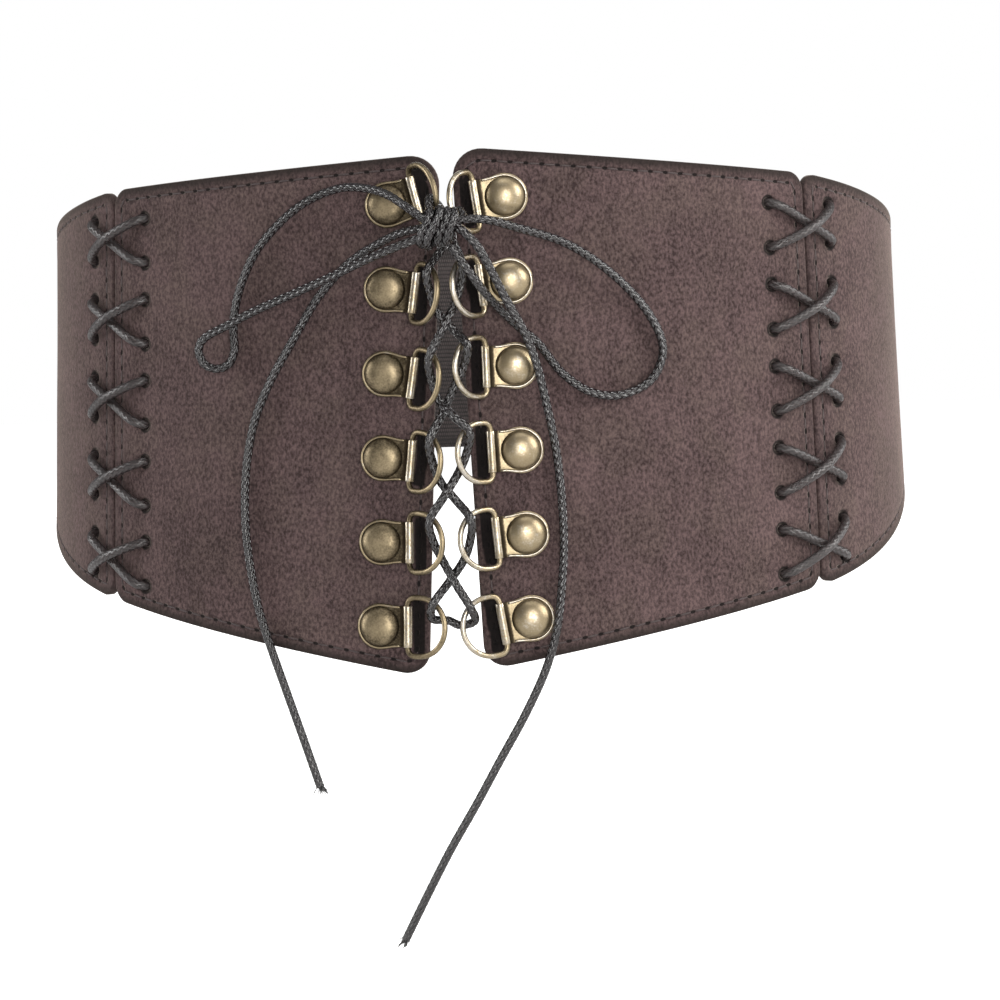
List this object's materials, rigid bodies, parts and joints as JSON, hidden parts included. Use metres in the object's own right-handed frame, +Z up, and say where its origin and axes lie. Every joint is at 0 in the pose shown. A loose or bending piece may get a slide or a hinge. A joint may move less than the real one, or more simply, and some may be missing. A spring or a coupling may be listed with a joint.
{
  "type": "laced corset belt",
  "caption": "Wide waist belt of suede-like panels, laced down the front through rings on riveted tabs, with cross-laced side seams and an elastic back.",
  "frame": {"origin": "centre of the waist loop, at the middle of the front height", "axes": "+X to the right of the front view, along the loop's widest side; +Z up; the laced front faces -Y"},
  "size_m": [0.2308, 0.1871, 0.1994],
  "materials": {
    "suede": "matte brushed nap",
    "elastic": "matte ribbed",
    "antique_brass": "satin, aged",
    "waxed_cord": "waxed braid"
  },
  "bodies": {
    "root": {"front_panel_left": "suede", "side_panel_left": "suede", "side_lace_left": "waxed_cord", "tab_left_1": "antique_brass", "tab_left_2": "antique_brass", "tab_left_3": "antique_brass", "tab_left_4": "antique_brass", "tab_left_5": "antique_brass", "tab_left_6": "antique_brass", "rivet_left_1": "antique_brass", "rivet_left_2": "antique_brass", "rivet_left_3": "antique_brass", "rivet_left_4": "antique_brass", "rivet_left_5": "antique_brass", "rivet_left_6": "antique_brass", "d_ring_left_1": "antique_brass", "d_ring_left_2": "antique_brass", "d_ring_left_3": "antique_brass", "d_ring_left_4": "antique_brass", "d_ring_left_5": "antique_brass", "d_ring_left_6": "antique_brass", "front_panel_right": "suede", "side_panel_right": "suede", "side_lace_right": "waxed_cord", "tab_right_1": "antique_brass", "tab_right_2": "antique_brass", "tab_right_3": "antique_brass", "tab_right_4": "antique_brass", "tab_right_5": "antique_brass", "tab_right_6": "antique_brass", "rivet_right_1": "antique_brass", "rivet_right_2": "antique_brass", "rivet_right_3": "antique_brass", "rivet_right_4": "antique_brass", "rivet_right_5": "antique_brass", "rivet_right_6": "antique_brass", "d_ring_right_1": "antique_brass", "d_ring_right_2": "antique_brass", "d_ring_right_3": "antique_brass", "d_ring_right_4": "antique_brass", "d_ring_right_5": "antique_brass", "d_ring_right_6": "antique_brass", "back_band": "elastic", "front_lace": "waxed_cord", "knot": "waxed_cord", "bow_loop_right": "waxed_cord", "bow_loop_left": "waxed_cord", "tail_right": "waxed_cord", "tail_left": "waxed_cord"}
  },
  "joints": []
}
